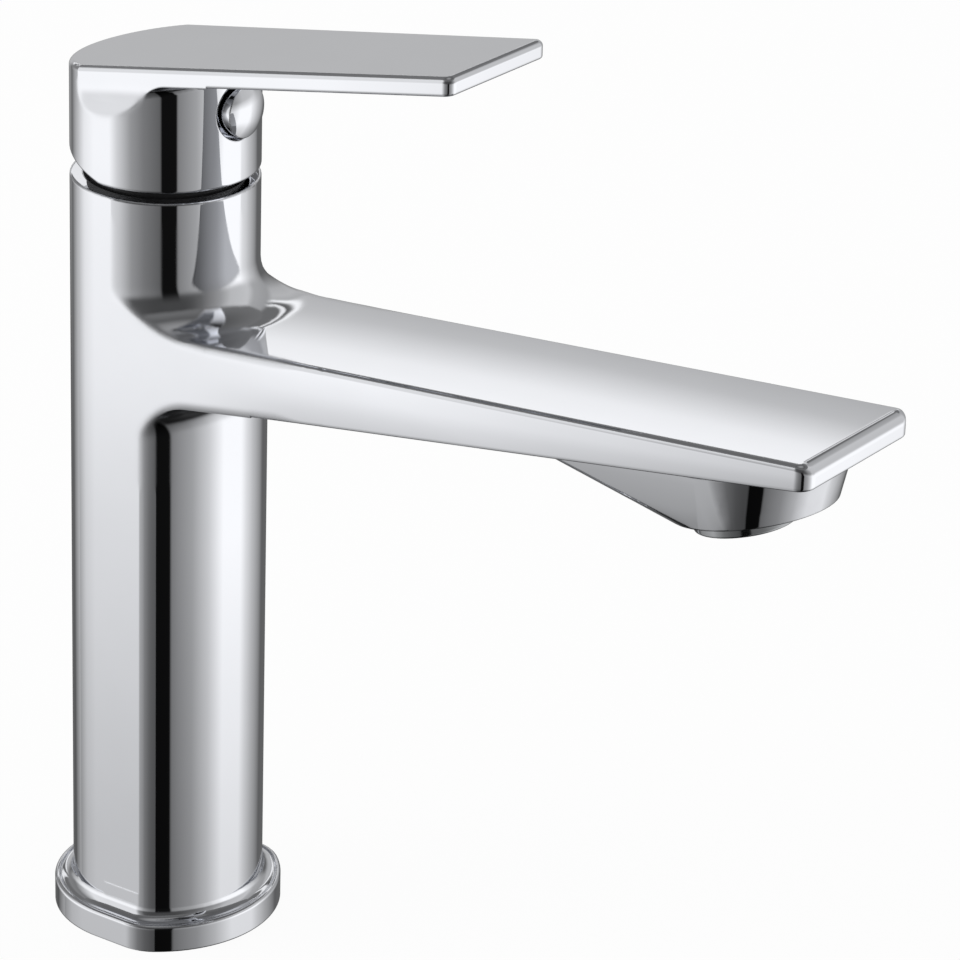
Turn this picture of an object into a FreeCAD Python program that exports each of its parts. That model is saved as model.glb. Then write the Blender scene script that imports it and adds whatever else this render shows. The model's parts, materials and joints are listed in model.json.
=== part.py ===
import FreeCAD, Part
import math
import os
from FreeCAD import Vector

# Single-lever basin mixer, millimetres, +Z up, spout along +X.
# The origin is on the column's axis, on the deck that the base ring stands on.

# Column: a D-shaped plan, round at the back and nearly flat at the sides
column_radius = 21.0
column_front_proud = 1.5
column_front_radius = 24.5
column_corner_radius = 7.4
side_taper_deg = 1.5
column_wall = 2.8
rim_height = 180.0
rim_round = 0.5

# Neck above the spout: round; the flat sides are dressed a hair into the round
side_trim = 0.04
neck_wall = 3.0
neck_blend = 9.0

# Foot and base ring
flange_overhang = 4.3
flange_height = 6.5
flange_round = 0.8
flange_recess = 0.6
foot_flare = 2.9
foot_lip = 0.4
spigot_depth = 5.0
spigot_clearance = 0.15
groove_inset = 1.0
groove_width = 2.2
groove_depth = 2.0
gasket_clearance = 0.05

# Spout: a flat blade that rises and thins towards its tip
spout_reach = 180.0
spout_half_width = 19.8
spout_drop = 30.7
spout_rise_deg = 5.23
spout_root_depth = 17.0
spout_underside_deg = 8.8
spout_under_blend = 8.0
spout_top_round = 1.3
spout_edge_round = 0.7
spout_tip_corner = 3.0
spout_tip_round = 2.6
spout_wall = 2.5
spout_bend_run = 15.0
spout_top_round_start = 22.5
spout_top_round_full = 27.5
spout_edge_round_start = 40.0
fading_round = 0.1
fading_step = 0.15

# Outlet boss under the spout's tip: round, its face tipped forward, with a fairing behind it
boss_set_back = 24.0
boss_drop = 19.0
boss_radius = 17.7
boss_lean = 0.5
boss_root_radius = 19.7
boss_sink = 1.5
fairing_length = 58.5
fairing_radius = 9.0
fairing_turn_deg = 3.0
outlet_tilt_deg = 13.0
outlet_set_back = 3.0
socket_radius = 10.3
socket_depth = 10.5
plenum_radius = 8.5

# Aerator
aerator_clearance = 0.1
aerator_lip = 0.5
aerator_lip_height = 4.2
aerator_wall = 2.1
aerator_ledge = 0.6
aerator_length = 9.0
insert_height = 5.0
insert_hole_radius = 0.85
insert_pitch = 2.2
insert_rings = 3
screen_wall = 0.5
screen_height = 3.2
screen_tip_radius = 4.0
washer_height = 1.5
washer_bore = 7.6

# Waterways inside the casting
partition_height = 20.0
inlet_x = -2.0
inlet_y = 8.2
inlet_socket_radius = 4.45
inlet_socket_length = 12.0
inlet_port_radius = 3.2
outlet_x = 9.0
outlet_port_radius = 4.0
channel_half_width = 13.0
channel_root_roof = 3.0
stud_x = -12.2
stud_radius = 3.32
stud_depth = 18.0
stud_lug_radius = 6.5
stud_lug_height = 24.0

# Ceramic cartridge, stacked down from its nut
nut_drop = 2.5
nut_height = 6.7
nut_bore = 13.2
nut_clearance = 0.1
nut_notches = 6
nut_notch_width = 4.0
nut_notch_depth = 2.5
housing_height = 22.8
housing_wall = 3.2
housing_clearance = 0.6
housing_roof = 3.0
base_flange_height = 1.6
base_spigot_clearance = 0.2
peg_radius = 1.4
peg_length = 2.5
peg_x = 3.0
peg_y = 14.2
peg_clearance = 0.2
seal_stand = 0.4
seal_height = 1.4
seal_inset = 0.2
seal_width = 1.4
disc_radius = 12.8
disc_height = 4.0
disc_key_width = 3.0
disc_film = 0.02
slider_radius = 10.8
slider_half_flat = 9.5
slider_disc_height = 3.5
carrier_height = 3.5
mixing_depth = 1.8
guide_gap = 0.3
glide_height = 0.3
guide_flange_height = 5.2
guide_skirt_height = 3.5
guide_neck_radius = 12.0
guide_neck_top = 5.0
running_clearance = 0.05
limit_ring_wall = 0.8
limit_ring_height = 3.2
limit_tab_width = 4.0
limit_tab_height = 1.5

# Lever stem and its pivot
pivot_drop = 8.0
pivot_radius = 1.5
stem_width = 7.9
stem_clearance = 0.35
stem_foot_radius = 2.5
stem_foot_drop = 10.6
stem_shank_half = 2.2
stem_shank_top = 6.0
lift_limit_deg = 17.0

# Trim collar in the gap under the cap, with its sealing ring
collar_radius = 17.3
collar_wall = 1.8
collar_height = 5.5
oring_section = 1.4
oring_drop = 0.6

# Lever handle: a hollow cap with a flat tapering blade
cap_gap = 2.2
cap_height = 26.6
cap_wall = 2.6
cap_relief_deg = 15.0
cap_edge_round = 0.6
blade_reach = 88.4
blade_half_root = 18.9
blade_half_tip = 16.9
blade_rise_deg = 10.8
blade_thickness = 4.2
blade_tip_corner = 2.0
blade_top_round = 1.3
blade_edge_round = 0.7
blade_round_start = 26.0
blade_under_blend = 3.0
side_runout = 10.0
cap_roof = 8.0
boss_side = 15.0
boss_skirt = 12.0
socket_clearance = 0.05

# Screw access in the cap's front, with its plug and grub screw
plug_drop = 9.9
plug_hole_radius = 6.9
plug_hole_depth = 6.0
plug_pad_radius = 8.6
plug_head_radius = 6.0
plug_head_proud = 2.8
plug_dome = 1.3
plug_head_length = 4.8
plug_stem_radius = 4.5
plug_stem_length = 2.8
plug_clearance = 0.1
screw_radius = 2.4
screw_length = 8.0
screw_clearance = 0.1
hex_radius = 1.45
hex_depth = 3.0

# Heights and radii that follow from the sizes above
front_reach = column_radius + column_front_proud
chamber_radius = column_radius - neck_wall
foot_z = flange_height - flange_recess
spigot_z = foot_z - spigot_depth
side_taper = math.radians(side_taper_deg)
spout_rise = math.tan(math.radians(spout_rise_deg))
spout_under_rise = math.tan(math.radians(spout_underside_deg))
spout_top_z = rim_height - spout_drop
spout_under_z = spout_top_z - spout_root_depth
nut_top = rim_height - nut_drop
housing_top = nut_top - nut_height
housing_z = housing_top - housing_height
base_z = housing_z - base_flange_height
chamber_floor = base_z - seal_stand
partition_z = chamber_floor - partition_height
housing_radius = chamber_radius - housing_clearance
housing_bore = housing_radius - housing_wall
guide_flange_top = housing_top - housing_roof - glide_height
guide_z = guide_flange_top - guide_flange_height
guide_top = housing_top + guide_neck_top
carrier_top = guide_z - guide_gap
carrier_z = carrier_top - carrier_height
slider_z = carrier_z - slider_disc_height
disc_z = slider_z - disc_film - disc_height
pivot_z = rim_height - pivot_drop
slider_travel = stem_foot_drop * math.radians(lift_limit_deg)
slider_x = -slider_travel / 2
boss_reach = spout_reach - boss_set_back
boss_root_reach = boss_reach + boss_lean
fairing_reach = boss_root_reach - fairing_length
boss_z = spout_top_z + spout_rise * boss_reach - boss_drop
outlet_tilt = math.radians(outlet_tilt_deg)
outlet_reach = boss_reach - outlet_set_back * math.cos(outlet_tilt)
outlet_z = boss_z - outlet_set_back * math.sin(outlet_tilt)
collar_top = nut_top + collar_height
cap_z = rim_height + cap_gap
cap_bore = column_radius - cap_wall
blade_rise = math.tan(math.radians(blade_rise_deg))
blade_top_z = cap_z + cap_height
plug_z = blade_top_z - plug_drop
stem_top = blade_top_z - cap_roof + 0.5
FAR = 2 * (rim_height + spout_reach + blade_reach)


# Building blocks
def cylinder(radius, low, high, x=0.0, y=0.0):
    """An upright cylinder between two heights."""
    return Part.makeCylinder(radius, high - low, Vector(x, y, low))


def ring(outer, inner, low, high, x=0.0, y=0.0):
    """An upright ring of rectangular section."""
    return cylinder(outer, low, high, x, y).cut(cylinder(inner, low, high, x, y))


def rod(radius, start, end, z):
    """A cylinder along X at height z."""
    return Part.makeCylinder(radius, end - start, Vector(start, 0, z), Vector(1, 0, 0))


def cross_rod(radius, half_length, x, z):
    """A cylinder along Y, centred on the part's middle plane."""
    return Part.makeCylinder(radius, 2 * half_length, Vector(x, -half_length, z), Vector(0, 1, 0))


def block(x_low, x_high, half_width, z_low, z_high):
    """A box centred on the part's middle plane."""
    return Part.makeBox(x_high - x_low, 2 * half_width, z_high - z_low, Vector(x_low, -half_width, z_low))


def side_plate(outline, half_width):
    """A plate whose outline is a list of (x, z) points, centred on the part's middle plane."""
    points = [Vector(x, -half_width, z) for x, z in outline]
    face = Part.Face(Part.makePolygon(points + points[:1]))
    return face.extrude(Vector(0, 2 * half_width, 0))


def lathe(outline):
    """A body turned about Z from a list of (radius, z) points."""
    points = [Vector(r, 0, z) for r, z in outline]
    face = Part.Face(Part.makePolygon(points + points[:1]))
    return face.revolve(Vector(0, 0, 0), Vector(0, 0, 1), 360)


def at_outlet(shape):
    """A shape made about Z, with the boss's face at height 0, set into the tipped outlet."""
    shape.rotate(Vector(0, 0, 0), Vector(0, 1, 0), -outlet_tilt_deg)
    shape.translate(Vector(outlet_reach, 0, outlet_z))
    return shape


def edges_where(shape, test):
    """Edges whose ends and middle all pass a test on points."""
    chosen = []
    for edge in shape.Edges:
        low, high = edge.ParameterRange
        if all(test(edge.valueAt(low + (high - low) * share)) for share in (0, 0.25, 0.5, 0.75, 1)):
            chosen.append(edge)
    return chosen


def on_slope(point, height, rise):
    """Whether a point lies on a plane that rises along X."""
    return abs(point.z - height - rise * point.x) < 1e-3


# The column's plan
def plan_points(offset):
    """Points of the far half of the D plan: where the back arc meets the side, the side meets the corner,
    the corner's middle, and where the corner meets the front."""
    sine, cosine = math.sin(side_taper), math.cos(side_taper)
    front_centre = front_reach - column_front_radius
    inside = column_radius - column_corner_radius
    near_x = sine * inside - front_centre
    near_y = cosine * inside
    half_b = near_x * cosine - near_y * sine
    rest = near_x ** 2 + near_y ** 2 - (column_front_radius - column_corner_radius) ** 2
    along = math.sqrt(half_b ** 2 - rest) - half_b
    centre_x = sine * inside + cosine * along
    centre_y = cosine * inside - sine * along
    corner = column_corner_radius + offset
    front = column_front_radius + offset
    turn = math.atan2(centre_y, centre_x - front_centre)
    middle = (turn + math.pi / 2 - side_taper) / 2
    tangent = ((column_radius + offset) * sine, (column_radius + offset) * cosine)
    corner_start = (centre_x + corner * sine, centre_y + corner * cosine)
    corner_middle = (centre_x + corner * math.cos(middle), centre_y + corner * math.sin(middle))
    corner_end = (front_centre + front * math.cos(turn), front * math.sin(turn))
    return tangent, corner_start, corner_middle, corner_end


def plan_prism(offset, low, high):
    """The D plan, grown by an offset, between two heights."""
    far = [Vector(x, y, low) for x, y in plan_points(offset)]
    near = [Vector(p.x, -p.y, p.z) for p in far]
    back = Vector(-column_radius - offset, 0, low)
    front = Vector(front_reach + offset, 0, low)
    edges = [
        Part.Arc(far[0], back, near[0]).toShape(),
        Part.LineSegment(near[0], near[1]).toShape(),
        Part.Arc(near[1], near[2], near[3]).toShape(),
        Part.Arc(near[3], front, far[3]).toShape(),
        Part.Arc(far[3], far[2], far[1]).toShape(),
        Part.LineSegment(far[1], far[0]).toShape(),
    ]
    return Part.Face(Part.Wire(edges)).extrude(Vector(0, 0, high - low))


# The spout's plan: the side line goes on from the column, bends straight and ends in a rounded tip
def side_line(x):
    """Half width of the spout on its tapering stretch next to the column."""
    return (column_radius - side_trim) / math.cos(side_taper) - x * math.tan(side_taper)


def spout_plan(start, end, low, high):
    """Prism of the spout's plan between two places along X; an end past the tip takes the rounded tip."""
    bend = (side_line(0) - spout_half_width) / math.tan(side_taper)
    bend_in = bend - spout_bend_run * math.cos(side_taper)
    bend_out = bend + spout_bend_run
    bend_radius = spout_bend_run / math.tan(side_taper / 2)
    half_turn = side_taper / 2
    bend_middle = (
        bend_out - bend_radius * math.sin(half_turn),
        spout_half_width + bend_radius * (1 - math.cos(half_turn)),
    )
    tip = spout_reach
    corner = spout_tip_corner
    diagonal = corner * math.sqrt(0.5)
    stations = [
        ("line", (0, side_line(0))),
        ("line", (bend_in, side_line(bend_in))),
        ("arc", bend_middle, (bend_out, spout_half_width)),
        ("line", (tip - corner, spout_half_width)),
        (
            "arc",
            (tip - corner + diagonal, spout_half_width - corner + diagonal),
            (tip, spout_half_width - corner),
        ),
    ]
    half = [Vector(*stations[0][1], low)]
    edges = []
    for station in stations[1:]:
        goal = Vector(*station[-1], low)
        if station[0] == "line":
            edges.append(Part.LineSegment(half[-1], goal).toShape())
        else:
            edges.append(Part.Arc(half[-1], Vector(*station[1], low), goal).toShape())
        half.append(goal)
    mirrored = [edge.mirror(Vector(0, 0, 0), Vector(0, 1, 0)) for edge in edges]
    tip_line = Part.LineSegment(half[-1], Vector(half[-1].x, -half[-1].y, low)).toShape()
    root_line = Part.LineSegment(half[0], Vector(half[0].x, -half[0].y, low)).toShape()
    wire = Part.Wire(Part.__sortEdges__(edges + mirrored + [tip_line, root_line]))
    prism = Part.Face(wire).extrude(Vector(0, 0, high - low))
    return prism.common(block(start, end, FAR, low, high))


# Body casting
def tipped_point(reach, height, tilt, radius, turn):
    """A point on a circle in a plane that rises along X, at a turn from the plane's upward direction."""
    along = radius * math.cos(turn)
    return Vector(reach + along * math.cos(tilt), radius * math.sin(turn), height + along * math.sin(tilt))


def outlet_wire(front, back, tilt, turns):
    """Closed outline of a front arc and a back arc, joined by the shortest edges; each arc is
    (reach, height, radius), and turns are where the front arc ends and the back arc starts."""
    end, start = turns
    ends = []
    for (reach, height, radius), first, last in ((front, -end, end), (back, start, 2 * math.pi - start)):
        places = (first, (first + last) / 2, last)
        ends.append([tipped_point(reach, height, tilt, radius, turn) for turn in places])
    arcs = [Part.Arc(*points).toShape() for points in ends]
    if front == back:
        side = tipped_point(*front[:2], tilt, front[2], (end + start) / 2)
        far = Part.Arc(ends[0][2], side, ends[1][0]).toShape()
        near_side = Vector(side.x, -side.y, side.z)
        near = Part.Arc(ends[1][2], near_side, ends[0][0]).toShape()
    else:
        far = Part.LineSegment(ends[0][2], ends[1][0]).toShape()
        near = Part.LineSegment(ends[1][2], ends[0][0]).toShape()
    return Part.Wire([arcs[0], far, arcs[1], near])


def outlet_boss():
    """Drafted round boss under the spout's tip; its back draws out into a fairing along the underside."""
    tilt = math.atan(spout_under_rise)

    def sunk(reach):
        return spout_under_z + boss_sink + spout_under_rise * reach

    face = (boss_reach, boss_z, boss_radius)
    root = (boss_root_reach, sunk(boss_root_reach), boss_root_radius)
    tail = (fairing_reach, sunk(fairing_reach), fairing_radius)
    spread = (boss_root_reach - fairing_reach) / math.cos(tilt)
    turn = math.acos((fairing_radius - boss_root_radius) / spread)
    slack = math.radians(fairing_turn_deg)
    bottom = outlet_wire(face, face, outlet_tilt, (turn - slack, turn + slack))
    top = outlet_wire(root, tail, tilt, (turn, turn))
    return Part.makeLoft([bottom, top], True, True)


def spout_slab():
    """Wide slab between the spout's underside and its top, from behind the column to past the tip."""
    start = -3 * column_radius
    end = spout_reach + column_radius
    outline = [
        (start, spout_under_z + spout_under_rise * start),
        (end, spout_under_z + spout_under_rise * end),
        (end, spout_top_z + spout_rise * end),
        (start, spout_top_z + spout_rise * start),
    ]
    return side_plate(outline, 3 * column_radius)


def rounded_run(shape, edges, radius_at):
    """A solid with a run of edges rounded from one side round the tip to the other; the radius is given
    for points and changes evenly between an edge's ends."""
    run = sorted(edges, key=lambda edge: -edge.BoundBox.XMin)
    low, high = run[0].ParameterRange
    turned = run[0].valueAt(high).y < run[0].valueAt(low).y
    rows = []
    for edge in run:
        number = [edge.isSame(other) for other in shape.Edges].index(True) + 1
        ends = [edge.valueAt(place) for place in edge.ParameterRange]
        ends.sort(key=lambda p: p.y, reverse=turned)
        rows.append((number, radius_at(ends[0]), radius_at(ends[1])))
    document = FreeCAD.newDocument("rounding")
    sharp = document.addObject("Part::Feature", "sharp")
    sharp.Shape = shape
    fillet = document.addObject("Part::Fillet", "fillet")
    fillet.Base = sharp
    fillet.Edges = rows
    document.recompute()
    solid = fillet.Shape.Solids[0].copy()
    FreeCAD.closeDocument(document.Name)
    return solid


def edge_shavings(height, rise, radius, tip_radius, start):
    """What a rounding takes off the spout's edges in one slope, from a place along X round the tip."""
    sharp = spout_plan(start, FAR, 0, FAR).common(spout_slab())
    edges = edges_where(sharp, lambda p: on_slope(p, height, rise))
    edges = [edge for edge in edges if edge.BoundBox.XMax > start + 2 * radius]

    def radius_at(point):
        return tip_radius if point.x > spout_reach - 1e-3 else radius

    return sharp.cut(rounded_run(sharp, edges, radius_at))


def fading_shavings():
    """What the rounding of the spout's top takes off next to the neck, where it grows from nothing
    to a hair under its full size."""
    sharp = spout_plan(spout_top_round_start, spout_top_round_full, 0, FAR).common(spout_slab())
    rounded = sharp
    middle = spout_half_width / 2
    for side in (-1, 1):
        edges = edges_where(rounded, lambda p: on_slope(p, spout_top_z, spout_rise) and side * p.y > middle)
        low, high = edges[0].ParameterRange
        radii = [fading_round, spout_top_round - fading_step]
        if edges[0].valueAt(low).x > edges[0].valueAt(high).x:
            radii.reverse()
        rounded = rounded.makeFillet(*radii, edges)
    return sharp.cut(rounded)


def spout_edge_shavings():
    """What the roundings take off the free part of the spout's edges."""
    top_sizes = (spout_top_round, spout_tip_round, spout_top_round_full)
    under_sizes = (spout_edge_round, spout_edge_round, spout_edge_round_start)
    top = edge_shavings(spout_top_z, spout_rise, *top_sizes)
    under = edge_shavings(spout_under_z, spout_under_rise, *under_sizes)
    return [top, fading_shavings(), under]


def near_axis(point):
    """Whether a point belongs to the joint between column and spout or between cap and blade."""
    return math.hypot(point.x, point.y) < 2 * column_radius


def round_column(low):
    """Round column from a height up to the rim, with the rim's outer edge rounded."""
    shape = cylinder(column_radius, low, rim_height)
    return shape.makeFillet(rim_round, edges_where(shape, lambda p: p.z > rim_height - 1e-3))


def side_wedge():
    """The flat sides' planes carried on behind the column's axis."""
    back = -2 * column_radius
    corners = [(back, side_line(back)), (0, side_line(0)), (0, -side_line(0)), (back, -side_line(back))]
    points = [Vector(x, y, 0) for x, y in corners]
    return Part.Face(Part.makePolygon(points + points[:1])).extrude(Vector(0, 0, FAR))


def casting_outside():
    """Column, neck and spout in one form: both blends are rolled round the column through a wide slab,
    then the sides are cut, so each blend fades out into a flat side."""
    middle = (spout_top_z + spout_under_z) / 2
    shape = spout_slab().fuse([plan_prism(0, foot_z, middle), round_column(middle)]).removeSplitter()
    loop = edges_where(shape, lambda p: near_axis(p) and on_slope(p, spout_top_z, spout_rise))
    shape = shape.makeFillet(neck_blend, loop)
    loop = edges_where(shape, lambda p: near_axis(p) and on_slope(p, spout_under_z, spout_under_rise))
    shape = shape.makeFillet(spout_under_blend, loop)
    shape = shape.common(spout_plan(0, FAR, 0, FAR))
    shape = shape.fuse(round_column(foot_z).common(side_wedge()))
    for shaving in spout_edge_shavings():
        shape = shape.cut(shaving)
    return shape


def casting_foot():
    """Flared lip that stands on the base ring, and the spigot that reaches down into it."""
    lip = plan_prism(foot_flare, foot_z, foot_z + foot_lip)
    stub = plan_prism(0, spigot_z, foot_z + foot_lip + 2 * foot_flare)
    foot = lip.fuse(stub).removeSplitter()
    level = foot_z + foot_lip
    slack = foot_flare / 2
    wall = edges_where(foot, lambda p: abs(p.z - level) < 1e-3 and abs(p.y) < column_radius + slack)
    wall = [edge for edge in wall if edge.BoundBox.XMin > -column_radius - slack]
    wall = [edge for edge in wall if edge.BoundBox.XMax < front_reach + slack]
    return foot.makeFillet(0.9 * foot_flare, wall)


def casting_waterways():
    """Everything that is cut out of the casting."""
    cuts = [plan_prism(-column_wall, spigot_z - 1, partition_z)]
    cuts.append(cylinder(chamber_radius, chamber_floor, rim_height + 1))
    socket_end = partition_z + inlet_socket_length
    for side in (-1, 1):
        cuts.append(cylinder(inlet_socket_radius, partition_z - 1, socket_end, inlet_x, side * inlet_y))
        cuts.append(cylinder(inlet_port_radius, partition_z, chamber_floor + 1, inlet_x, side * inlet_y))
        peg_hole = peg_radius + peg_clearance
        peg_end = base_z - peg_length - peg_clearance
        cuts.append(cylinder(peg_hole, peg_end, chamber_floor + 1, peg_x, side * peg_y))
    channel_roof = chamber_floor - channel_root_roof
    step = chamber_radius + spout_wall
    channel_start = outlet_x - outlet_port_radius

    def floor(x):
        return spout_under_z + spout_wall + spout_under_rise * x

    def roof(x):
        return spout_top_z - spout_wall + spout_rise * x

    channel = [
        (channel_start, floor(channel_start)),
        (outlet_reach, floor(outlet_reach)),
        (outlet_reach, roof(outlet_reach)),
        (step + spout_wall, roof(step + spout_wall)),
        (step, channel_roof),
        (channel_start, channel_roof),
    ]
    cuts.append(side_plate(channel, channel_half_width))
    cuts.append(cylinder(outlet_port_radius, channel_roof - 1, chamber_floor + 1, outlet_x))
    cuts.append(at_outlet(cylinder(socket_radius, -1, socket_depth)))
    headroom = roof(outlet_reach) - outlet_z - plenum_radius * math.sin(outlet_tilt)
    cuts.append(at_outlet(cylinder(plenum_radius, socket_depth - 1, headroom / math.cos(outlet_tilt))))
    return cuts


def body_casting():
    """Column, neck, spout and outlet boss in one hollow casting."""
    shape = casting_outside().fuse(casting_foot()).fuse(outlet_boss())
    for cut in casting_waterways():
        shape = shape.cut(cut)
    lug = cylinder(stud_lug_radius, spigot_z, stud_lug_height, stud_x)
    shape = shape.fuse(lug.common(plan_prism(-column_wall / 2, 0, FAR)))
    return shape.cut(cylinder(stud_radius, spigot_z - 1, spigot_z + stud_depth, stud_x))


# Base
def base_ring():
    """Base ring that the casting's foot stands on, with a seal groove underneath."""
    shape = plan_prism(flange_overhang, 0, flange_height)
    top = edges_where(shape, lambda p: p.z > flange_height - 1e-3)
    shape = shape.makeFillet(flange_round, top)
    recess = foot_flare + 2 * spigot_clearance
    shape = shape.cut(plan_prism(recess, foot_z, flange_height + 1))
    shape = shape.cut(plan_prism(spigot_clearance, -1, flange_height))
    groove = plan_prism(groove_inset + groove_width, -1, groove_depth)
    return shape.cut(groove.cut(plan_prism(groove_inset, -1, groove_depth)))


def base_gasket():
    """Rubber seal in the base ring's groove, flush with the deck."""
    outer = plan_prism(groove_inset + groove_width - gasket_clearance, 0, groove_depth - gasket_clearance)
    return outer.cut(plan_prism(groove_inset + gasket_clearance, 0, groove_depth))


# Aerator
def aerator_shell():
    """Threaded sleeve with the lip that shows under the outlet."""
    outside = socket_radius - aerator_clearance
    bore = outside - aerator_wall
    low = -aerator_lip_height
    outline = [
        (bore - aerator_ledge, low),
        (socket_radius + aerator_lip, low),
        (socket_radius + aerator_lip, 0),
        (outside, 0),
        (outside, aerator_length),
        (bore, aerator_length),
        (bore, low + aerator_ledge),
        (bore - aerator_ledge, low + aerator_ledge),
    ]
    shape = lathe(outline)
    lip = edges_where(shape, lambda p: abs(p.z - low) < 1e-3 and math.hypot(p.x, p.y) > outside)
    return at_outlet(shape.makeFillet(aerator_lip, lip))


def aerator_insert():
    """Flow straightener: a disc with a honeycomb of holes."""
    radius = socket_radius - 2 * aerator_clearance - aerator_wall
    low = aerator_ledge - aerator_lip_height
    shape = cylinder(radius, low, low + insert_height)
    holes = []
    row_step = insert_pitch * math.sqrt(0.75)
    for row in range(-insert_rings, insert_rings + 1):
        for place in range(2 * insert_rings + 1 - abs(row)):
            y = insert_pitch * (place - insert_rings + abs(row) / 2)
            holes.append(cylinder(insert_hole_radius, low - 1, low + insert_height + 1, row * row_step, y))
    return at_outlet(shape.cut(holes))


def aerator_screen():
    """Conical strainer that stands on the insert."""
    radius = socket_radius - 2 * aerator_clearance - aerator_wall
    low = aerator_ledge - aerator_lip_height + insert_height
    outline = [
        (radius - 2 * screen_wall, low),
        (radius, low),
        (radius, low + screen_wall),
        (radius - screen_wall, low + screen_wall),
        (screen_tip_radius + screen_wall, low + screen_height),
        (0, low + screen_height),
        (0, low + screen_height - screen_wall),
        (screen_tip_radius, low + screen_height - screen_wall),
    ]
    return at_outlet(lathe(outline))


def aerator_washer():
    """Flat rubber washer between the sleeve and the socket's shoulder."""
    radius = socket_radius - 2 * aerator_clearance
    return at_outlet(ring(radius, washer_bore, aerator_length, aerator_length + washer_height))


# Cartridge
def port_places():
    """Centre and radius of the two inlet ports and the outlet port."""
    return [
        (inlet_x, inlet_y, inlet_port_radius),
        (inlet_x, -inlet_y, inlet_port_radius),
        (outlet_x, 0, outlet_port_radius),
    ]


def port_holes(low, high, grow=0.0):
    """Cylinders through the three ports."""
    return [cylinder(radius + grow, low, high, x, y) for x, y, radius in port_places()]


def cartridge_base():
    """Cartridge floor with its ports, seal pockets and locating pegs."""
    shape = cylinder(housing_radius, base_z, housing_z)
    shape = shape.fuse(cylinder(housing_bore - base_spigot_clearance, housing_z, disc_z))
    for side in (-1, 1):
        shape = shape.fuse(cylinder(peg_radius, base_z - peg_length, housing_z, peg_x, side * peg_y))
    pocket_top = chamber_floor + seal_height
    pockets = port_holes(base_z - 1, pocket_top, seal_inset + seal_width + running_clearance)
    return shape.removeSplitter().cut(pockets + port_holes(base_z - 1, disc_z + 1))


def port_seals():
    """Three rubber seals between the cartridge floor and the casting."""
    seals = []
    for x, y, radius in port_places():
        inner = radius + seal_inset
        seals.append(ring(inner + seal_width, inner, chamber_floor, chamber_floor + seal_height, x, y))
    return Part.makeCompound(seals)


def cartridge_housing():
    """Cartridge shell with the round opening that guides the stem guide."""
    shape = cylinder(housing_radius, housing_z, housing_top)
    shape = shape.cut(cylinder(housing_bore, housing_z - 1, housing_top - housing_roof))
    return shape.cut(cylinder(guide_neck_radius + running_clearance, housing_z, housing_top + 1))


def fixed_disc():
    """Lower ceramic disc, held from turning by two keys."""
    shape = cylinder(disc_radius, disc_z, disc_z + disc_height)
    key = block(-disc_key_width / 2, disc_key_width / 2, housing_bore, disc_z, disc_z + disc_height)
    key = key.common(cylinder(housing_bore - running_clearance, disc_z, disc_z + disc_height))
    shape = shape.fuse(key).removeSplitter()
    return shape.cut(port_holes(disc_z - 1, slider_z + 1))


def slider_blank(low, high):
    """Round plate with flat flanks that runs between the stem guide's skirts."""
    plate = cylinder(slider_radius, low, high, slider_x)
    return plate.common(block(-FAR, FAR, slider_half_flat, low, high))


def moving_disc():
    """Upper ceramic disc with the mixing recess in its underside."""
    shape = slider_blank(slider_z, carrier_z)
    recess = cylinder(slider_radius / 2, slider_z - 1, slider_z + mixing_depth, slider_x)
    return shape.cut(recess)


def disc_carrier():
    """Carrier that the stem's foot pushes along."""
    shape = slider_blank(carrier_z, carrier_top)
    pocket = stem_foot_radius + stem_clearance
    half = stem_width / 2 + stem_clearance
    return shape.cut(block(-pocket, pocket, half, carrier_z - 1, carrier_top + 1))


def stem_slot():
    """Where the slot in the guide starts and ends along X, for the stem's whole tilt."""
    lift = math.radians(lift_limit_deg)
    half = stem_width / 2
    above = guide_top - pivot_z
    below = pivot_z - guide_z
    back = -half / math.cos(lift) - above * math.tan(lift) - stem_clearance
    front = half / math.cos(lift) + below * math.tan(lift) + stem_clearance
    return back, front


def stem_guide():
    """Turning guide of the stem, with skirts that carry the disc carrier round."""
    shape = cylinder(housing_bore - guide_gap, guide_z, guide_flange_top)
    shape = shape.fuse(cylinder(guide_neck_radius, guide_flange_top, guide_top))
    skirt = cylinder(housing_bore - guide_gap, guide_z - guide_skirt_height, guide_z)
    inside = slider_half_flat + guide_gap
    skirt = skirt.cut(block(-FAR, FAR, inside, guide_z - guide_skirt_height, guide_z))
    back, front = stem_slot()
    slot = block(back, front, stem_width / 2 + stem_clearance, guide_z - 1, guide_top + 1)
    shape = shape.fuse(skirt).removeSplitter().cut(slot)
    return shape.cut(cross_rod(pivot_radius + running_clearance, FAR, 0, pivot_z))


def glide_ring():
    """Thin slide ring between the stem guide's shoulder and the housing's roof."""
    inner = guide_neck_radius + guide_gap
    return ring(housing_bore - guide_gap, inner, guide_flange_top, guide_flange_top + glide_height)


def pivot_pin():
    """Cross pin that the stem tilts on."""
    half = math.sqrt(guide_neck_radius ** 2 - pivot_radius ** 2) - guide_gap
    return cross_rod(pivot_radius, half, 0, pivot_z)


def limit_ring():
    """Ring on the housing that limits how far the lever turns towards hot, with its stop tab."""
    inner = nut_bore - limit_ring_wall
    shape = ring(nut_bore - running_clearance, inner, housing_top, housing_top + limit_ring_height)
    tab_top = housing_top + limit_ring_height + limit_tab_height
    tab = block(-FAR, 0, limit_tab_width / 2, housing_top, tab_top)
    tab = tab.common(ring(nut_bore - running_clearance, inner, housing_top, tab_top))
    return shape.fuse(tab).removeSplitter()


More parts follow.
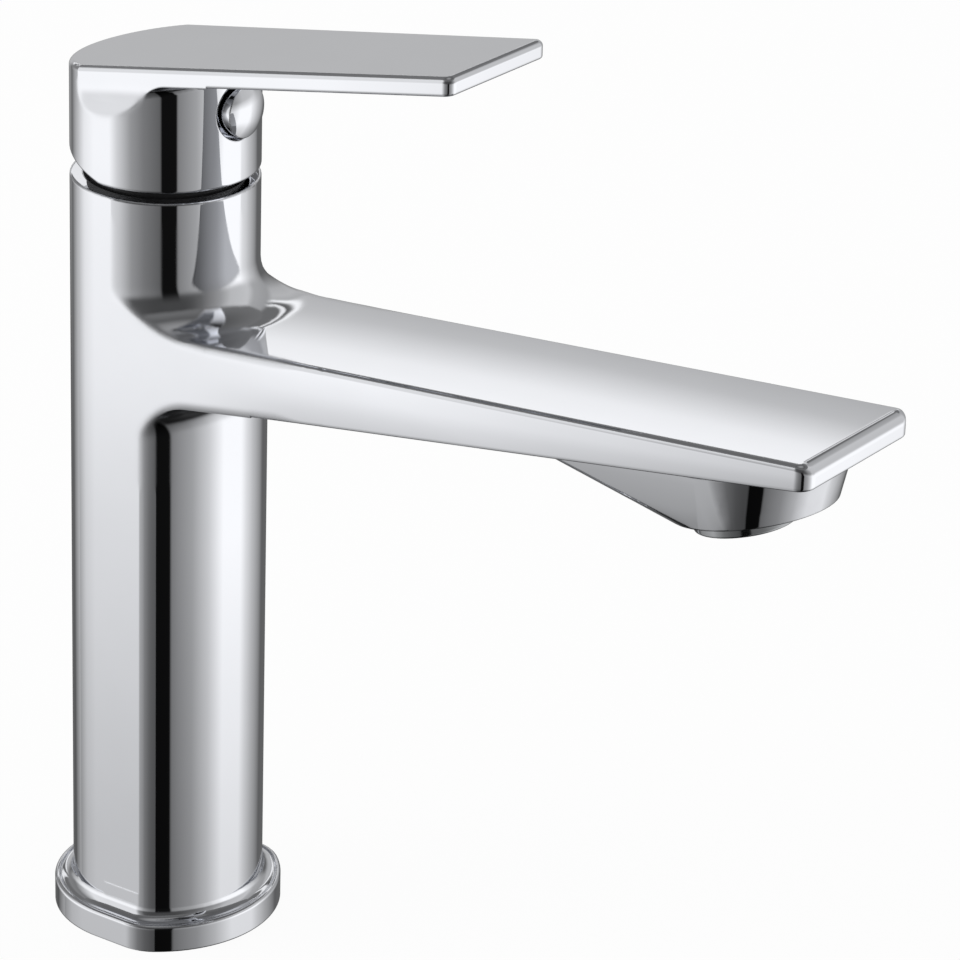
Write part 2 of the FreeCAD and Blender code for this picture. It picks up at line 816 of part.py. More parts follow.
def cartridge_nut():
    """Ring nut that clamps the cartridge, notched for a key."""
    shape = ring(chamber_radius - nut_clearance, nut_bore, housing_top, nut_top)
    middle = (nut_bore + collar_radius - collar_wall) / 2
    notches = []
    for index in range(nut_notches):
        notch = block(0, middle, nut_notch_width / 2, nut_top - nut_notch_depth, nut_top + 1)
        notch.rotate(Vector(0, 0, 0), Vector(0, 0, 1), 360 * index / nut_notches)
        notches.append(notch)
    return shape.cut(notches)


def trim_collar():
    """Collar that closes the gap between the neck and the cap."""
    shape = ring(collar_radius, collar_radius - collar_wall, nut_top, collar_top)
    top = edges_where(shape, lambda p: p.z > collar_top - 1e-3)
    return shape.makeFillet(collar_wall / 4, top)


def collar_oring():
    """Rubber ring between the collar and the neck's bore."""
    high = rim_height - oring_drop
    return ring(chamber_radius, collar_radius, high - oring_section, high)


# Lever
def lever_stem():
    """Square stem with a pivot hole and a round foot."""
    half = stem_width / 2
    shape = block(-half, half, half, pivot_z - stem_shank_top, stem_top)
    foot_z_middle = pivot_z - stem_foot_drop
    shank = block(-stem_shank_half, stem_shank_half, half, foot_z_middle, pivot_z - stem_shank_top)
    foot = cross_rod(stem_foot_radius, half, 0, foot_z_middle)
    shape = shape.fuse([shank, foot]).removeSplitter()
    return shape.cut(cross_rod(pivot_radius + running_clearance, FAR, 0, pivot_z))


def blade_half(x):
    """Half width of the lever's blade."""
    return blade_half_root - (blade_half_root - blade_half_tip) * x / blade_reach


def blade_slab():
    """Wide slab between the blade's underside and its top, from behind the cap to past the tip."""
    start = -3 * column_radius
    end = blade_reach + column_radius
    top_start = blade_top_z + blade_rise * start
    top_end = blade_top_z + blade_rise * end
    outline = [
        (start, top_start - blade_thickness),
        (end, top_end - blade_thickness),
        (end, top_end),
        (start, top_start),
    ]
    return side_plate(outline, 3 * column_radius)


def blade_plan(start):
    """Prism of the blade's plan from a place along X to its rounded tip."""
    corners = [
        (start, blade_half(start)),
        (blade_reach, blade_half_tip),
        (blade_reach, -blade_half_tip),
        (start, -blade_half(start)),
    ]
    points = [Vector(x, y, 0) for x, y in corners]
    prism = Part.Face(Part.makePolygon(points + points[:1])).extrude(Vector(0, 0, FAR))
    upright = edges_where(prism, lambda p: abs(p.x - blade_reach) < 1e-3)
    return prism.makeFillet(blade_tip_corner, [edge for edge in upright if edge.BoundBox.ZLength > 1])


def cap_side_cut(side):
    """What the blade's flat side takes off the round cap, with a hollow run-out below."""
    start = -2 * column_radius
    under_z = blade_top_z - blade_thickness + blade_rise * start
    half = blade_half(start)
    quarter = side_runout * math.sqrt(0.5)
    top = Vector(start, side * half, under_z + FAR)
    edge = Vector(start, side * half, under_z)
    middle = Vector(start, side * (half + side_runout - quarter), under_z - quarter)
    end = Vector(start, side * (half + side_runout), under_z - side_runout)
    outer = Vector(start, side * FAR, under_z - side_runout)
    corner = Vector(start, side * FAR, under_z + FAR)
    edges = [
        Part.LineSegment(top, edge).toShape(),
        Part.Arc(edge, middle, end).toShape(),
        Part.LineSegment(end, outer).toShape(),
        Part.LineSegment(outer, corner).toShape(),
        Part.LineSegment(corner, top).toShape(),
    ]
    length = blade_reach + column_radius - start
    lean = side * (blade_half(start + length) - half)
    return Part.Face(Part.Wire(edges)).extrude(Vector(length, lean, blade_rise * length))


def above_blade():
    """Everything over the plane of the blade's top."""
    run = blade_reach + column_radius
    outline = [
        (-run, blade_top_z - blade_rise * run),
        (run, blade_top_z + blade_rise * run),
        (run, FAR),
        (-run, FAR),
    ]
    return side_plate(outline, 3 * column_radius)


def round_cap():
    """Round cap cut off along the blade's top."""
    return cylinder(column_radius, cap_z, FAR / 2).cut(above_blade())


def handle_outside():
    """Cap and blade; the blade's flat sides run back over the cap's round wall."""
    under_z = blade_top_z - blade_thickness
    shape = blade_slab().fuse(round_cap()).removeSplitter()
    loop = edges_where(shape, lambda p: near_axis(p) and on_slope(p, under_z, blade_rise))
    shape = shape.makeFillet(blade_under_blend, loop)
    shape = shape.common(block(0, FAR, FAR, 0, FAR))
    shape = shape.fuse(round_cap().common(block(-FAR, 0, FAR, 0, FAR)))
    for side in (-1, 1):
        shape = shape.cut(cap_side_cut(side))
    middle = blade_reach / 2
    return shape.common(blade_plan(middle).fuse(block(-FAR, middle, FAR, 0, FAR)))


def handle_edge_shavings():
    """What the roundings take off the handle: round the top, under the blade and round the cap's foot."""
    under_z = blade_top_z - blade_thickness
    plan = blade_plan(-2 * column_radius)
    plan = plan.common(cylinder(column_radius, 0, FAR).fuse(block(0, FAR, FAR, 0, FAR))).cut(above_blade())
    top = edges_where(plan, lambda p: on_slope(p, blade_top_z, blade_rise))
    free = blade_plan(blade_round_start).common(blade_slab())
    under = edges_where(free, lambda p: on_slope(p, under_z, blade_rise))
    under = [edge for edge in under if edge.BoundBox.XMax > blade_round_start + 1]
    cap = cylinder(column_radius, cap_z, blade_top_z)
    foot = edges_where(cap, lambda p: p.z < cap_z + 1e-3)
    shavings = []
    for solid, edges, radius in (
        (plan, top, blade_top_round),
        (free, under, blade_edge_round),
        (cap, foot, cap_edge_round),
    ):
        shavings.append(solid.cut(solid.makeFillet(radius, edges)))
    return shavings


def handle_inside():
    """The cap's hollow, with a square boss for the stem and a pad behind the screw access left standing."""
    roof = blade_top_z - cap_roof
    hollow = cylinder(cap_bore, cap_z - 1, roof)
    boss = block(-boss_side / 2, boss_side / 2, boss_side / 2, roof - boss_skirt, roof)
    return hollow.cut([boss, rod(plug_pad_radius, 0, column_radius, plug_z)])


def handle():
    """Cast lever handle."""
    shape = handle_outside()
    for shaving in handle_edge_shavings():
        shape = shape.cut(shaving)
    run = 2 * column_radius
    back_rise = run * math.tan(math.radians(cap_relief_deg))
    relief = side_plate([(0, cap_z), (-run, cap_z + back_rise), (-run, cap_z - 1), (0, cap_z - 1)], run)
    shape = shape.cut(relief).cut(handle_inside())
    socket = stem_width / 2 + socket_clearance
    shape = shape.cut(block(-socket, socket, socket, cap_z, stem_top + socket_clearance))
    hole_start = column_radius - plug_hole_depth
    stem_end = hole_start - plug_stem_length + 1
    shape = shape.cut(rod(screw_radius + screw_clearance, stem_width / 2, hole_start, plug_z))
    shape = shape.cut(rod(plug_stem_radius + plug_clearance, stem_end - 1, FAR, plug_z))
    return shape.cut(rod(plug_hole_radius, hole_start, FAR, plug_z))


def set_screw():
    """Grub screw that clamps the handle on the stem, with a hexagon socket."""
    start = stem_width / 2
    end = start + screw_length
    shape = rod(screw_radius, start, end, plug_z)
    corners = []
    for index in range(6):
        turn = math.radians(60 * index)
        corners.append(Vector(end, hex_radius * math.cos(turn), plug_z + hex_radius * math.sin(turn)))
    hexagon = Part.Face(Part.makePolygon(corners + corners[:1])).extrude(Vector(-hex_depth, 0, 0))
    return shape.cut(hexagon)


def handle_plug():
    """Domed plug that covers the screw access."""
    hole_start = column_radius - plug_hole_depth
    rim = column_radius + plug_head_proud - plug_dome
    head_start = rim - plug_head_length
    stem_start = hole_start - plug_stem_length + 1
    half_chord = plug_head_radius
    ball = (half_chord ** 2 + plug_dome ** 2) / (2 * plug_dome)
    dome = Part.makeSphere(ball, Vector(rim + plug_dome - ball, 0, plug_z))
    bounds = dome.fuse(rod(ball, 0, rim, plug_z))
    head = rod(half_chord, head_start, rim + 2 * plug_dome, plug_z).common(bounds)
    return head.fuse(rod(plug_stem_radius, stem_start, head_start, plug_z)).removeSplitter()


PARTS = {
    "body_casting": body_casting,
    "base_ring": base_ring,
    "base_gasket": base_gasket,
    "aerator_shell": aerator_shell,
    "aerator_insert": aerator_insert,
    "aerator_screen": aerator_screen,
    "aerator_washer": aerator_washer,
    "cartridge_base": cartridge_base,
    "port_seals": port_seals,
    "cartridge_housing": cartridge_housing,
    "fixed_disc": fixed_disc,
    "moving_disc": moving_disc,
    "disc_carrier": disc_carrier,
    "stem_guide": stem_guide,
    "glide_ring": glide_ring,
    "pivot_pin": pivot_pin,
    "limit_ring": limit_ring,
    "cartridge_nut": cartridge_nut,
    "trim_collar": trim_collar,
    "collar_oring": collar_oring,
    "lever_stem": lever_stem,
    "handle": handle,
    "set_screw": set_screw,
    "handle_plug": handle_plug,
}

os.makedirs("parts", exist_ok=True)
for node, make in PARTS.items():
    make().exportStep("parts/" + node + ".step")
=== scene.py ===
import json
import math
import bpy
from mathutils import Matrix, Vector

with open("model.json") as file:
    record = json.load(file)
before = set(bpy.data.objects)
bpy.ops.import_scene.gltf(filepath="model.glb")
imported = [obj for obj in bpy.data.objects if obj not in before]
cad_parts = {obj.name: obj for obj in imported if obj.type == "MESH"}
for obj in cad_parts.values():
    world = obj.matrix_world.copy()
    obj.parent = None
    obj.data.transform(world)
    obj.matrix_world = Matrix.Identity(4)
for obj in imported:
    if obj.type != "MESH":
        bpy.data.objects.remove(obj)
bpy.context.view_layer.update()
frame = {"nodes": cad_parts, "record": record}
scene = bpy.context.scene


# Helpers for node trees
def new_tree(owner):
    """The emptied node tree of a material or a world."""
    owner.use_nodes = True
    tree = owner.node_tree
    tree.nodes.clear()
    return tree


def add(tree, kind, **settings):
    """A new node with the given settings."""
    node = tree.nodes.new(kind)
    for key, value in settings.items():
        setattr(node, key, value)
    return node


def put(node, **values):
    """Set a node's inputs by name, with an underscore for a space."""
    for key, value in values.items():
        node.inputs[key.replace("_", " ")].default_value = value
    return node


def feed(tree, socket, value):
    """Link an input to another node's output, or set it to a constant."""
    if isinstance(value, bpy.types.NodeSocket):
        tree.links.new(value, socket)
    else:
        socket.default_value = value


def math_node(tree, operation, *values):
    """The result of a math operation on outputs or constants."""
    node = add(tree, "ShaderNodeMath", operation=operation)
    for socket, value in zip(node.inputs, values):
        feed(tree, socket, value)
    return node.outputs[0]


def product(tree, first, *others):
    """All the values multiplied together."""
    result = first
    for other in others:
        result = math_node(tree, "MULTIPLY", result, other)
    return result


def mixed(tree, blend, share, a, b):
    """Colour b blended over colour a by a share."""
    node = add(tree, "ShaderNodeMix", data_type="RGBA", blend_type=blend)
    feed(tree, node.inputs["Factor"], share)
    feed(tree, node.inputs["A"], a)
    feed(tree, node.inputs["B"], b)
    return node.outputs["Result"]


def mixed_shader(tree, share, a, b):
    """Shader a at a share of 0, and shader b at 1."""
    node = add(tree, "ShaderNodeMixShader")
    for socket, value in zip(node.inputs, (share, a, b)):
        feed(tree, socket, value)
    return node.outputs["Shader"]


def split(tree, vector):
    """The x, y and z of a vector."""
    node = add(tree, "ShaderNodeSeparateXYZ")
    tree.links.new(vector, node.inputs["Vector"])
    return list(node.outputs)


def ramp(tree, source, stops):
    """A colour ramp through stops of a place from 0 to 1 and a grey or a colour."""
    node = add(tree, "ShaderNodeValToRGB")
    elements = node.color_ramp.elements
    while len(elements) > 1:
        elements.remove(elements[-1])
    elements[0].position = stops[0][0]
    for index, (place, colour) in enumerate(stops):
        element = elements[0] if index == 0 else elements.new(place)
        if isinstance(colour, (int, float)):
            colour = (colour, colour, colour)
        element.color = (*colour, 1)
    tree.links.new(source, node.inputs["Fac"])
    return node.outputs["Color"]


def smooth_step(tree, value, start, end):
    """0 up to the start and 1 from the end on, smooth between them."""
    node = add(tree, "ShaderNodeMapRange", interpolation_type="SMOOTHSTEP")
    put(node, From_Min=start, From_Max=end)
    tree.links.new(value, node.inputs["Value"])
    return node.outputs["Result"]


def between(tree, value, low, high, soft):
    """1 between two values, with a soft step at each."""
    rise = smooth_step(tree, value, low - soft, low)
    fall = smooth_step(tree, value, high + soft, high)
    return product(tree, rise, fall)


# Surfaces: colour and roughness drift a little, as plating, moulding or turning leaves them
NOISE_DETAIL = 4.0
NOISE_ROUGHNESS = 0.55
NOISE_LOW = 0.3
NOISE_HIGH = 0.7
ROUGHNESS_SPREAD = 0.3
GRAIN_FINENESS = 20
GRAIN_DETAIL = 2.0
GRAIN_DEPTH = 0.0001


def surface(name, low, high, roughness, scale, metallic=0.0, bump=0.0, shape_normal=None):
    """A material between two colours, with a fine grain or with a normal that shape_normal makes."""
    material = bpy.data.materials.new(name)
    tree = new_tree(material)
    out = add(tree, "ShaderNodeOutputMaterial")
    shader = put(add(tree, "ShaderNodeBsdfPrincipled"), Metallic=metallic)
    place = add(tree, "ShaderNodeTexCoord").outputs["Object"]
    noise = put(
        add(tree, "ShaderNodeTexNoise"),
        Scale=scale,
        Detail=NOISE_DETAIL,
        Roughness=NOISE_ROUGHNESS,
    )
    tree.links.new(place, noise.inputs["Vector"])
    drift = noise.outputs["Fac"]
    colour = ramp(tree, drift, [(NOISE_LOW, low), (NOISE_HIGH, high)])
    tree.links.new(colour, shader.inputs["Base Color"])
    spread = roughness * ROUGHNESS_SPREAD
    level = math_node(tree, "MULTIPLY_ADD", drift, 2 * spread, roughness - spread)
    tree.links.new(level, shader.inputs["Roughness"])
    if bump:
        grain = put(add(tree, "ShaderNodeTexNoise"), Scale=scale * GRAIN_FINENESS, Detail=GRAIN_DETAIL)
        tree.links.new(place, grain.inputs["Vector"])
        relief = put(add(tree, "ShaderNodeBump"), Strength=bump, Distance=GRAIN_DEPTH)
        tree.links.new(grain.outputs["Fac"], relief.inputs["Height"])
        tree.links.new(relief.outputs["Normal"], shader.inputs["Normal"])
    if shape_normal:
        tree.links.new(shape_normal(tree, place), shader.inputs["Normal"])
    tree.links.new(shader.outputs["BSDF"], out.inputs["Surface"])
    return material


FINISHES = {
    "dark_chrome": dict(
        low=(0.42, 0.43, 0.44), high=(0.48, 0.49, 0.50), roughness=0.12, scale=80.0, metallic=1.0,
    ),
    "rubber": dict(
        low=(0.016, 0.016, 0.017), high=(0.03, 0.03, 0.031), roughness=0.75, scale=150.0, bump=0.3,
    ),
    "ceramic": dict(
        low=(0.80, 0.79, 0.76), high=(0.86, 0.85, 0.82), roughness=0.18, scale=200.0,
    ),
    "white_plastic": dict(
        low=(0.74, 0.74, 0.72), high=(0.80, 0.80, 0.78), roughness=0.42, scale=120.0, bump=0.1,
    ),
    "grey_plastic": dict(
        low=(0.14, 0.145, 0.15), high=(0.19, 0.195, 0.20), roughness=0.45, scale=120.0, bump=0.1,
    ),
    "black_plastic": dict(
        low=(0.012, 0.012, 0.013), high=(0.02, 0.02, 0.021), roughness=0.35, scale=120.0,
    ),
    "red_plastic": dict(
        low=(0.26, 0.012, 0.01), high=(0.33, 0.02, 0.015), roughness=0.4, scale=120.0, bump=0.1,
    ),
    "steel": dict(
        low=(0.50, 0.50, 0.51), high=(0.60, 0.60, 0.61), roughness=0.28, scale=200.0, metallic=1.0, bump=0.1,
    ),
    "brass": dict(
        low=(0.60, 0.42, 0.16), high=(0.70, 0.50, 0.21), roughness=0.25, scale=150.0, metallic=1.0, bump=0.1,
    ),
}
# Polished chrome has a faint cool tint
CHROME = dict(low=(0.868, 0.88, 0.914), high=(0.898, 0.91, 0.946), roughness=0.025, scale=25.0, metallic=1.0)

# The chrome's edges are buffed soft, by these radii in metres
EDGE_SOFTNESS = 0.0005
RUNOUT_SOFTNESS = 0.0024
NECK_SOFTNESS = 0.0028
BEVEL_SAMPLES = 8
# Zones are from, to and the width of the soft step at both ends, in metres. This one is where the cap's flat
# side runs out into its round wall: its distance from the middle plane, its stretch along x and its height,
# which climbs with x
RUNOUT_ASIDE = (0.0175, 0.03, 0.001)
RUNOUT_ALONG = (-0.012, 0.0085, 0.002)
RUNOUT_HEIGHT = (0.195, 0.205, 0.002)
RUNOUT_CLIMB = 0.19
# The neck's blend, with the arch under the spout
NECK_ALONG = (-0.03, 0.045, 0.01)
NECK_HEIGHT = (0.116, 0.173, 0.004)
# The spout's sides are buffed to a crown: the tilt of the normal at their edges, the zone along x, and how
# much of a normal has to point sideways. The side's middle climbs along x, and its half height tapers
CROWN = 0.075
CROWN_ALONG = (0.055, 0.2, 0.035)
SIDEWAYS_FROM = 0.85
SIDEWAYS_FULL = 0.95
SPOUT_MIDDLE = 0.1408
SPOUT_CLIMB = 0.1232
SPOUT_HALF = 0.0085
SPOUT_TAPER = 0.0316


def soft_edges(tree, radius):
    """The normal with edges rounded by a radius."""
    bevel = add(tree, "ShaderNodeBevel", samples=BEVEL_SAMPLES)
    feed(tree, bevel.inputs["Radius"], radius)
    return bevel.outputs["Normal"]


def softer(tree, zone, softness):
    """The common softness, rising to another one in a zone."""
    return math_node(tree, "MULTIPLY_ADD", zone, softness - EDGE_SOFTNESS, EDGE_SOFTNESS)


def plain_normal(tree, place):
    """Soft edges that are the same all over."""
    return soft_edges(tree, EDGE_SOFTNESS)


def handle_normal(tree, place):
    """Softer where the flat side runs out into the cap's round wall."""
    x, y, z = split(tree, place)
    aside = between(tree, math_node(tree, "ABSOLUTE", y), *RUNOUT_ASIDE)
    along = between(tree, x, *RUNOUT_ALONG)
    level = math_node(tree, "MULTIPLY_ADD", x, -RUNOUT_CLIMB, z)
    runout = product(tree, aside, along, between(tree, level, *RUNOUT_HEIGHT))
    return soft_edges(tree, softer(tree, runout, RUNOUT_SOFTNESS))


def casting_normal(tree, place):
    """Softer at the neck, with a crown on the spout's sides that fades in along the spout."""
    x, _, z = split(tree, place)
    above = math_node(tree, "SUBTRACT", z, SPOUT_MIDDLE)
    off_middle = math_node(tree, "MULTIPLY_ADD", x, -SPOUT_CLIMB, above)
    half = math_node(tree, "MULTIPLY_ADD", x, -SPOUT_TAPER, SPOUT_HALF)
    share = math_node(tree, "DIVIDE", off_middle, half)
    tilt = product(tree, share, between(tree, x, *CROWN_ALONG), CROWN)
    at_neck = product(tree, between(tree, x, *NECK_ALONG), between(tree, z, *NECK_HEIGHT))
    normal_x, normal_y, normal_z = split(tree, soft_edges(tree, softer(tree, at_neck, NECK_SOFTNESS)))
    sideways = smooth_step(tree, math_node(tree, "ABSOLUTE", normal_y), SIDEWAYS_FROM, SIDEWAYS_FULL)
    tilted_z = math_node(tree, "MULTIPLY_ADD", tilt, sideways, normal_z)
    joined = add(tree, "ShaderNodeCombineXYZ")
    for socket, value in zip(joined.inputs, (normal_x, normal_y, tilted_z)):
        feed(tree, socket, value)
    unit = add(tree, "ShaderNodeVectorMath", operation="NORMALIZE")
    tree.links.new(joined.outputs["Vector"], unit.inputs[0])
    return unit.outputs["Vector"]


finishes = {name: surface(name, **settings) for name, settings in FINISHES.items()}
finishes["chrome"] = surface("chrome", shape_normal=plain_normal, **CHROME)
shaped_chrome = {
    "handle": surface("handle_chrome", shape_normal=handle_normal, **CHROME),
    "body_casting": surface("casting_chrome", shape_normal=casting_normal, **CHROME),
}
for entry in frame["record"]["subparts"]:
    piece = frame["nodes"][entry["node"]]
    piece.data.materials.clear()
    piece.data.materials.append(shaped_chrome.get(entry["node"], finishes[entry["material_slot"]]))


# Camera: fitted to the photograph
CAMERA_PLACE = Vector((0.63117, -0.77019, 0.54538))
CAMERA_AZIMUTH = math.radians(35.25)
CAMERA_ELEVATION = math.radians(23.75)
CAMERA_ROLL = math.radians(-1.79)
LENS_MM = 180.86
SENSOR_MM = 36.0
CLIP_NEAR = 0.01
CLIP_FAR = 50.0


def photo_camera():
    right = Vector((math.cos(CAMERA_AZIMUTH), math.sin(CAMERA_AZIMUTH), 0))
    ahead = Vector((
        -math.sin(CAMERA_AZIMUTH) * math.cos(CAMERA_ELEVATION),
        math.cos(CAMERA_AZIMUTH) * math.cos(CAMERA_ELEVATION),
        -math.sin(CAMERA_ELEVATION),
    ))
    up = right.cross(ahead)
    rolled_right = math.cos(CAMERA_ROLL) * right - math.sin(CAMERA_ROLL) * up
    rolled_up = math.sin(CAMERA_ROLL) * right + math.cos(CAMERA_ROLL) * up
    data = bpy.data.cameras.new("camera")
    data.lens = LENS_MM
    data.sensor_width = SENSOR_MM
    data.sensor_fit = "HORIZONTAL"
    data.clip_start = CLIP_NEAR
    data.clip_end = CLIP_FAR
    camera = bpy.data.objects.new("camera", data)
    scene.collection.objects.link(camera)
    turn = Matrix((rolled_right, rolled_up, -ahead)).transposed().to_4x4()
    camera.matrix_world = Matrix.Translation(CAMERA_PLACE) @ turn
    return camera


scene.camera = photo_camera()


# Stage: a pale floor, a light tent for the chrome to mirror, plain light all round and one soft lamp
WHITE = (1, 1, 1, 1)


def staged(name, data):
    """A new object that belongs to the stage."""
    thing = bpy.data.objects.new(name, data)
    scene.collection.objects.link(thing)
    return thing


def staged_mesh(name, points, faces):
    """A mesh on the stage and the empty node tree of its material."""
    mesh = bpy.data.meshes.new(name)
    mesh.from_pydata(points, [], faces)
    material = bpy.data.materials.new(name)
    mesh.materials.append(material)
    return staged(name, mesh), new_tree(material)


# Floor: it takes the faucet's shadow, the camera sees it nearly white, and the chrome doesn't mirror it
FLOOR_HALF = 30.0
FLOOR_COLOUR = (0.86, 0.86, 0.86, 1)
FLOOR_WHITE_SHARE = 0.94


def floor():
    corners = [(FLOOR_HALF * x, FLOOR_HALF * y, 0) for x, y in ((-1, -1), (1, -1), (1, 1), (-1, 1))]
    thing, tree = staged_mesh("floor", corners, [(0, 1, 2, 3)])
    out = add(tree, "ShaderNodeOutputMaterial")
    matte = put(add(tree, "ShaderNodeBsdfDiffuse"), Color=FLOOR_COLOUR)
    glow = put(add(tree, "ShaderNodeEmission"), Color=WHITE, Strength=1.0)
    path = add(tree, "ShaderNodeLightPath").outputs
    seen = math_node(tree, "MAXIMUM", path["Is Camera Ray"], path["Is Transmission Ray"])
    share = product(tree, seen, FLOOR_WHITE_SHARE)
    shader = mixed_shader(tree, share, matte.outputs["BSDF"], glow.outputs["Emission"])
    tree.links.new(shader, out.inputs["Surface"])
    thing.visible_glossy = False


# Tent: a tube of light round the faucet that only glossy rays see. Its levels are display levels from 0 to
# 255 that the chrome shows where it mirrors them. They were set and rounded, guided by the tones of
# the photo's chrome. Sizes are in metres, azimuths in degrees
TENT_RADIUS = 0.9
TENT_LOW = -3.0
TENT_HIGH = 0.9
TENT_SPAN = TENT_HIGH - TENT_LOW
TENT_SIDES = 128
FULL_TURN = 360
# About the share of light that the chrome gives back
CHROME_WHITE = 0.92
# Levels by azimuth. Low down there is a soft box on the camera's left, the dark slit that the camera looks
# through, a soft box on its right and a grey back wall
LOW_LEVELS = [
    (-180, 185), (-164, 235), (-146, 250), (-121, 250), (-110, 210), (-92, 150), (-76, 120), (-57, 95),
    (-55, 15), (-38, 15), (-36, 125), (-14, 160), (4, 205), (22, 255), (47, 255), (56, 225), (68, 190),
    (84, 145), (95, 90), (160, 90), (180, 185),
]
# Higher up it is dim, with the tops of the soft boxes
HIGH_LEVELS = [
    (-180, 120), (-162, 180), (-146, 225), (-121, 220), (-108, 140), (-92, 80), (-57, 60), (-55, 45),
    (-38, 45), (-36, 70), (-12, 95), (0, 125), (14, 150), (28, 185), (56, 195), (66, 165), (95, 150),
    (180, 120),
]
# Share of the higher levels, by height
HIGH_SHARE = [(0.02, 0.0), (0.2, 1.0)]
# Share of the low levels that is left towards the floor, by height, on the left and on the right
FADE_LEFT = [
    (-3.0, 0.1), (-2.0, 0.3), (-0.8, 0.42), (-0.45, 0.55), (-0.3, 0.75), (-0.22, 0.9), (-0.13, 0.98),
    (-0.05, 1.0),
]
FADE_RIGHT = [(-1.2, 0.03), (-0.75, 0.5), (-0.45, 0.75), (-0.3, 0.98), (-0.2, 1.0)]
# Share of the right side's fading, by azimuth
FADE_RIGHT_SHARE = [(-60, 0.0), (-30, 1.0)]
# The slit ends under a plain dim lintel: the lintel's own level, and its share by azimuth and by height
LINTEL_LEVEL = 70
LINTEL_AROUND = [(-90, 0.0), (-57, 1.0), (-36, 1.0), (-15, 0.0)]
LINTEL_RISE = [(0.15, 0.0), (0.42, 1.0)]
# Levels up the back wall by height, with two light strips that hang aslant, and the wall's share by azimuth
BACK_LEVELS = [
    (-0.15, 95), (0.12, 170), (0.3, 180), (0.385, 170), (0.395, 180), (0.405, 215), (0.415, 245),
    (0.435, 250), (0.465, 115), (0.505, 85), (0.52, 235), (0.55, 235), (0.58, 105),
]
BACK_AROUND = [(88, 0.0), (96, 1.0), (150, 1.0), (162, 0.0)]
BACK_AZIMUTH = 129.0
# Climb of the strips in metres for each degree of azimuth
BACK_SLANT = 0.0049


def linear(level):
    """Linear light of a display level from 0 to 255, by the sRGB curve."""
    share = level / 255
    return share / 12.92 if share <= 0.04045 else ((share + 0.055) / 1.055) ** 2.4


def as_light(stops):
    """Stops of display levels, as light to mirror in chrome."""
    return [(place, linear(level) / CHROME_WHITE) for place, level in stops]


def by_height(stops):
    """Stops by height, as shares of the tent's height."""
    return [((height - TENT_LOW) / TENT_SPAN, value) for height, value in stops]


def by_azimuth(stops):
    """Stops by azimuth, as shares of a full turn."""
    return [(angle / FULL_TURN + 0.5, value) for angle, value in stops]


def height_share(tree, height):
    """A height as a share of the tent's height."""
    return math_node(tree, "MULTIPLY_ADD", height, 1 / TENT_SPAN, -TENT_LOW / TENT_SPAN)


def tent_light(tree, place):
    """Light of the tent's wall at a place on it."""
    x, y, z = split(tree, place)
    degrees = product(tree, math_node(tree, "ARCTAN2", y, x), math.degrees(1))
    turn = math_node(tree, "MULTIPLY_ADD", degrees, 1 / FULL_TURN, 0.5)
    height = height_share(tree, z)

    left = ramp(tree, height, by_height(FADE_LEFT))
    right = ramp(tree, height, by_height(FADE_RIGHT))
    fade = mixed(tree, "MIX", ramp(tree, turn, by_azimuth(FADE_RIGHT_SHARE)), left, right)
    low = mixed(tree, "MULTIPLY", 1.0, ramp(tree, turn, by_azimuth(as_light(LOW_LEVELS))), fade)
    high = ramp(tree, turn, by_azimuth(as_light(HIGH_LEVELS)))
    wall = mixed(tree, "MIX", ramp(tree, height, by_height(HIGH_SHARE)), low, high)

    over_slit = ramp(tree, turn, by_azimuth(LINTEL_AROUND))
    at_lintel = mixed(tree, "MULTIPLY", 1.0, over_slit, ramp(tree, height, by_height(LINTEL_RISE)))
    grey = linear(LINTEL_LEVEL)
    wall = mixed(tree, "MIX", at_lintel, wall, (grey, grey, grey, 1))

    slant = product(tree, math_node(tree, "SUBTRACT", degrees, BACK_AZIMUTH), BACK_SLANT)
    slanted = height_share(tree, math_node(tree, "ADD", z, slant))
    back = ramp(tree, slanted, by_height(as_light(BACK_LEVELS)))
    return mixed(tree, "MIX", ramp(tree, turn, by_azimuth(BACK_AROUND)), wall, back)


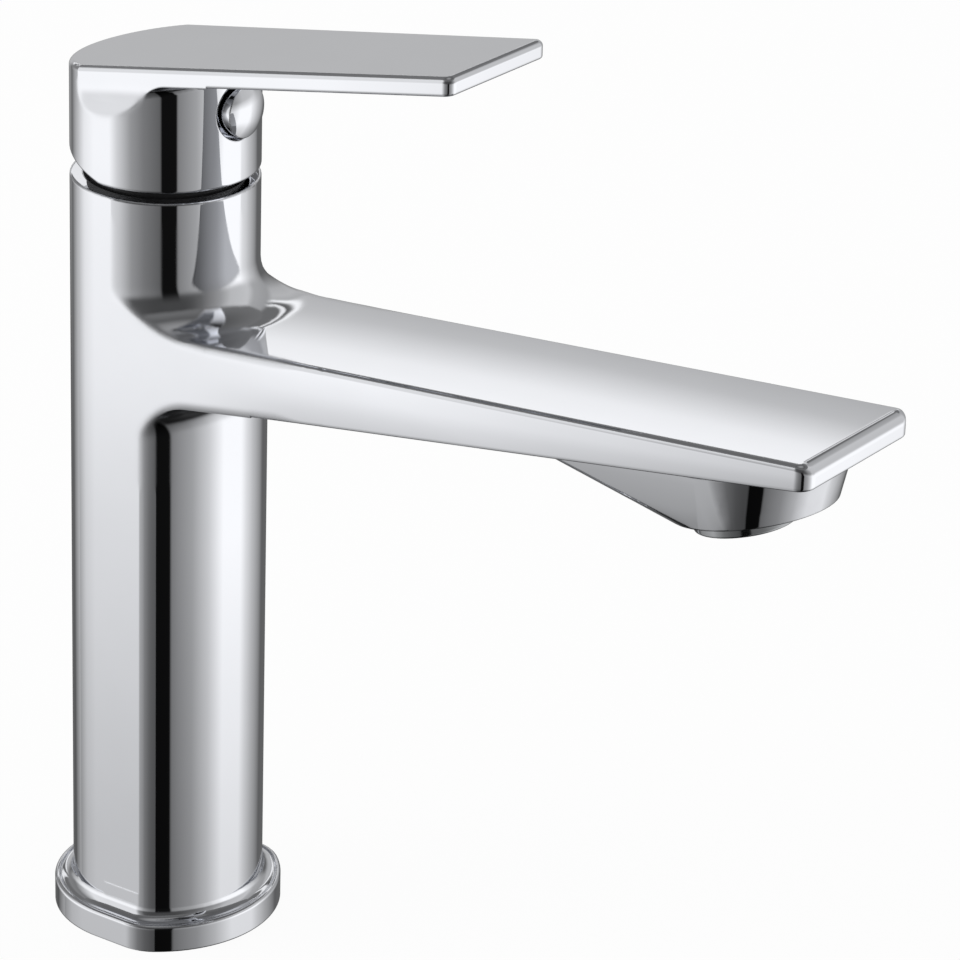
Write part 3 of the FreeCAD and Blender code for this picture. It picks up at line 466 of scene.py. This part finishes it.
def tent():
    points = []
    for z in (TENT_LOW, TENT_HIGH):
        for index in range(TENT_SIDES):
            angle = 2 * math.pi * index / TENT_SIDES
            points.append((TENT_RADIUS * math.cos(angle), TENT_RADIUS * math.sin(angle), z))
    faces = []
    for index in range(TENT_SIDES):
        following = (index + 1) % TENT_SIDES
        faces.append((index, following, TENT_SIDES + following, TENT_SIDES + index))
    thing, tree = staged_mesh("tent", points, faces)
    out = add(tree, "ShaderNodeOutputMaterial")
    place = add(tree, "ShaderNodeTexCoord").outputs["Object"]
    glow = put(add(tree, "ShaderNodeEmission"), Strength=1.0)
    tree.links.new(tent_light(tree, place), glow.inputs["Color"])
    tree.links.new(glow.outputs["Emission"], out.inputs["Surface"])
    thing.visible_camera = False
    thing.visible_diffuse = False
    thing.visible_shadow = False
    thing.visible_transmission = False


# Sky: plain light all round and white behind the floor's edge. Over and under the tent the chrome mirrors the
# greys below, given from 0 straight down to 1 straight up
SKY_COLOUR = (0.80, 0.80, 0.80, 1)
SKY_MIRRORED = [(0.0, 0.01), (0.1, 0.02), (0.3, 0.08), (0.8, 0.18), (0.88, 0.15), (0.95, 0.1), (1.0, 0.3)]


def background(tree, colour):
    node = put(add(tree, "ShaderNodeBackground"), Strength=1.0)
    feed(tree, node.inputs["Color"], colour)
    return node.outputs["Background"]


def sky():
    world = bpy.data.worlds.new("studio")
    scene.world = world
    tree = new_tree(world)
    out = add(tree, "ShaderNodeOutputWorld")
    path = add(tree, "ShaderNodeLightPath").outputs
    direction = add(tree, "ShaderNodeTexCoord").outputs["Generated"]
    upward = split(tree, direction)[2]
    rise = math_node(tree, "MULTIPLY_ADD", upward, 0.5, 0.5)
    mirrored = background(tree, ramp(tree, rise, SKY_MIRRORED))
    lit = mixed_shader(tree, path["Is Glossy Ray"], background(tree, SKY_COLOUR), mirrored)
    seen = mixed_shader(tree, path["Is Camera Ray"], lit, background(tree, WHITE))
    tree.links.new(seen, out.inputs["Surface"])


# Lamp: large and soft, from above on the camera's left, and not mirrored
LAMP_PLACE = Vector((-0.9, -1.0, 1.4))
LAMP_AIM = Vector((0.06, 0, 0.1))
LAMP_SIZE = 0.9
LAMP_WATTS = 6.0


def lamp():
    data = bpy.data.lights.new("key", "AREA")
    data.shape = "SQUARE"
    data.size = LAMP_SIZE
    data.energy = LAMP_WATTS
    thing = staged("key", data)
    turn = (LAMP_AIM - LAMP_PLACE).to_track_quat("-Z", "Y").to_matrix().to_4x4()
    thing.matrix_world = Matrix.Translation(LAMP_PLACE) @ turn
    thing.visible_glossy = False


floor()
tent()
sky()
lamp()

scene.view_settings.view_transform = "Standard"
